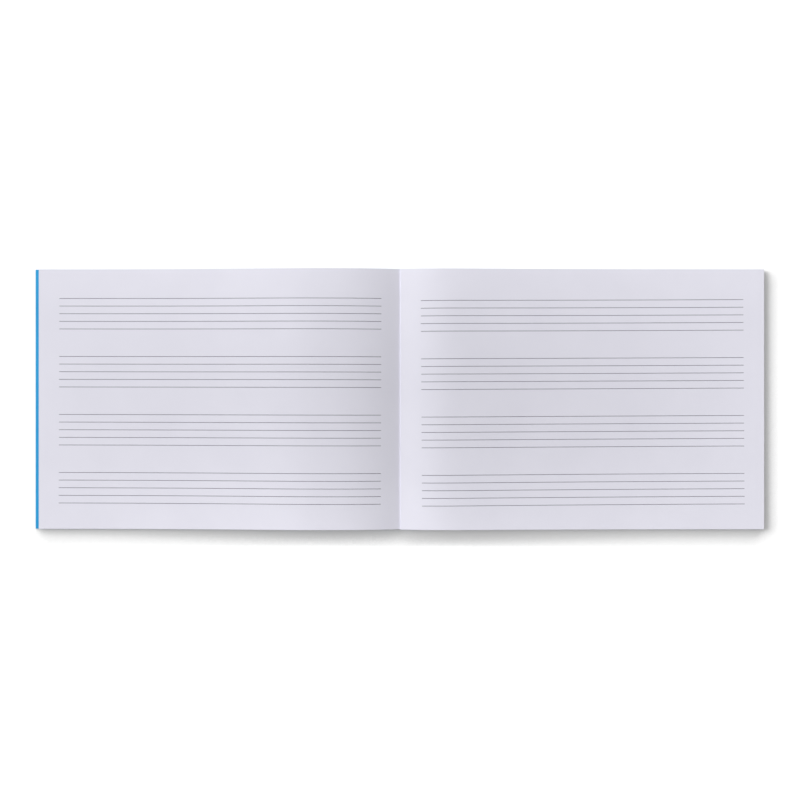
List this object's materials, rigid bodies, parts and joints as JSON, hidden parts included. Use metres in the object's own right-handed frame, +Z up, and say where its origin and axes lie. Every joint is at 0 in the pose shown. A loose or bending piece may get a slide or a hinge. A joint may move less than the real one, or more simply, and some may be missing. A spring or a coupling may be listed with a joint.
{
  "type": "music notebook",
  "caption": "Open stapled music notebook in landscape format: folded leaves of blank staff paper in a plain blue card cover, each leaf and the front cover hinged at the fold.",
  "frame": {"origin": "on the table under the fold, midway between head and foot of the page", "axes": "+X across the open spread to the right, +Y up the page, +Z up from the table"},
  "size_m": [0.4154, 0.148, 0.0057],
  "materials": {
    "cover_card": "smooth dyed card, satin",
    "page_paper": "uncoated writing paper, matt",
    "staple_wire": "drawn steel wire"
  },
  "bodies": {
    "back_cover": {"back_cover": "cover_card"},
    "spine": {"spine": "cover_card", "staple_upper": "staple_wire", "staple_lower": "staple_wire"},
    "front_cover": {"front_cover": "cover_card"},
    "leaf_01": {"leaf_01": "page_paper", "leaf_01_fold": "page_paper"},
    "leaf_02": {"leaf_02": "page_paper", "leaf_02_fold": "page_paper"},
    "leaf_03": {"leaf_03": "page_paper", "leaf_03_fold": "page_paper"},
    "leaf_04": {"leaf_04": "page_paper", "leaf_04_fold": "page_paper"},
    "leaf_05": {"leaf_05": "page_paper", "leaf_05_fold": "page_paper"},
    "leaf_06": {"leaf_06": "page_paper", "leaf_06_fold": "page_paper"},
    "leaf_07": {"leaf_07": "page_paper", "leaf_07_fold": "page_paper"},
    "leaf_08": {"leaf_08": "page_paper", "leaf_08_fold": "page_paper"},
    "leaf_09": {"leaf_09": "page_paper", "leaf_09_fold": "page_paper"},
    "leaf_10": {"leaf_10": "page_paper", "leaf_10_fold": "page_paper"},
    "leaf_11": {"leaf_11": "page_paper", "leaf_11_fold": "page_paper"},
    "leaf_12": {"leaf_12": "page_paper", "leaf_12_fold": "page_paper"},
    "leaf_13": {"leaf_13": "page_paper", "leaf_13_fold": "page_paper"},
    "leaf_14": {"leaf_14": "page_paper", "leaf_14_fold": "page_paper"},
    "leaf_15": {"leaf_15": "page_paper", "leaf_15_fold": "page_paper"},
    "leaf_16": {"leaf_16": "page_paper", "leaf_16_fold": "page_paper"}
  },
  "joints": [
    {"name": "front_cover_turn", "type": "hinge", "parent": "back_cover", "child": "front_cover", "pos_m": [0, 0, 0.006], "axis": [0, 1, 0], "range_deg": [0, 179.98]},
    {"name": "spine_turn", "type": "hinge", "parent": "back_cover", "child": "spine", "pos_m": [0, 0, 0.006], "axis": [0, 1, 0], "range_deg": [0, 90], "deforming": ["spine"]},
    {"name": "leaf_01_turn", "type": "hinge", "parent": "front_cover", "child": "leaf_01", "pos_m": [0, 0, 0.006], "axis": [0, -1, 0], "range_deg": [-179.98, 0], "deforming": ["leaf_01_fold"]},
    {"name": "leaf_02_turn", "type": "hinge", "parent": "leaf_01", "child": "leaf_02", "pos_m": [0, 0, 0.006], "axis": [0, -1, 0], "range_deg": [-179.98, 0], "deforming": ["leaf_02_fold"]},
    {"name": "leaf_03_turn", "type": "hinge", "parent": "leaf_02", "child": "leaf_03", "pos_m": [0, 0, 0.006], "axis": [0, -1, 0], "range_deg": [-179.98, 0], "deforming": ["leaf_03_fold"]},
    {"name": "leaf_04_turn", "type": "hinge", "parent": "leaf_03", "child": "leaf_04", "pos_m": [0, 0, 0.006], "axis": [0, -1, 0], "range_deg": [-179.98, 0], "deforming": ["leaf_04_fold"]},
    {"name": "leaf_05_turn", "type": "hinge", "parent": "leaf_04", "child": "leaf_05", "pos_m": [0, 0, 0.006], "axis": [0, -1, 0], "range_deg": [-179.98, 0], "deforming": ["leaf_05_fold"]},
    {"name": "leaf_06_turn", "type": "hinge", "parent": "leaf_05", "child": "leaf_06", "pos_m": [0, 0, 0.006], "axis": [0, -1, 0], "range_deg": [-179.98, 0], "deforming": ["leaf_06_fold"]},
    {"name": "leaf_16_turn", "type": "hinge", "parent": "back_cover", "child": "leaf_16", "pos_m": [0, 0, 0.006], "axis": [0, 1, 0], "range_deg": [-179.98, 0], "deforming": ["leaf_16_fold"]},
    {"name": "leaf_15_turn", "type": "hinge", "parent": "leaf_16", "child": "leaf_15", "pos_m": [0, 0, 0.006], "axis": [0, 1, 0], "range_deg": [-179.98, 0], "deforming": ["leaf_15_fold"]},
    {"name": "leaf_14_turn", "type": "hinge", "parent": "leaf_15", "child": "leaf_14", "pos_m": [0, 0, 0.006], "axis": [0, 1, 0], "range_deg": [-179.98, 0], "deforming": ["leaf_14_fold"]},
    {"name": "leaf_13_turn", "type": "hinge", "parent": "leaf_14", "child": "leaf_13", "pos_m": [0, 0, 0.006], "axis": [0, 1, 0], "range_deg": [-179.98, 0], "deforming": ["leaf_13_fold"]},
    {"name": "leaf_12_turn", "type": "hinge", "parent": "leaf_13", "child": "leaf_12", "pos_m": [0, 0, 0.006], "axis": [0, 1, 0], "range_deg": [-179.98, 0], "deforming": ["leaf_12_fold"]},
    {"name": "leaf_11_turn", "type": "hinge", "parent": "leaf_12", "child": "leaf_11", "pos_m": [0, 0, 0.006], "axis": [0, 1, 0], "range_deg": [-179.98, 0], "deforming": ["leaf_11_fold"]},
    {"name": "leaf_10_turn", "type": "hinge", "parent": "leaf_11", "child": "leaf_10", "pos_m": [0, 0, 0.006], "axis": [0, 1, 0], "range_deg": [-179.98, 0], "deforming": ["leaf_10_fold"]},
    {"name": "leaf_09_turn", "type": "hinge", "parent": "leaf_10", "child": "leaf_09", "pos_m": [0, 0, 0.006], "axis": [0, 1, 0], "range_deg": [-179.98, 0], "deforming": ["leaf_09_fold"]},
    {"name": "leaf_08_turn", "type": "hinge", "parent": "leaf_09", "child": "leaf_08", "pos_m": [0, 0, 0.006], "axis": [0, 1, 0], "range_deg": [-179.98, 0], "deforming": ["leaf_08_fold"]},
    {"name": "leaf_07_turn", "type": "hinge", "parent": "leaf_08", "child": "leaf_07", "pos_m": [0, 0, 0.006], "axis": [0, 1, 0], "range_deg": [-179.98, 0], "deforming": ["leaf_07_fold"]}
  ],
  "couplings": [
    {"joint": "spine_turn", "follows": "front_cover_turn", "ratio": 0.5}
  ]
}
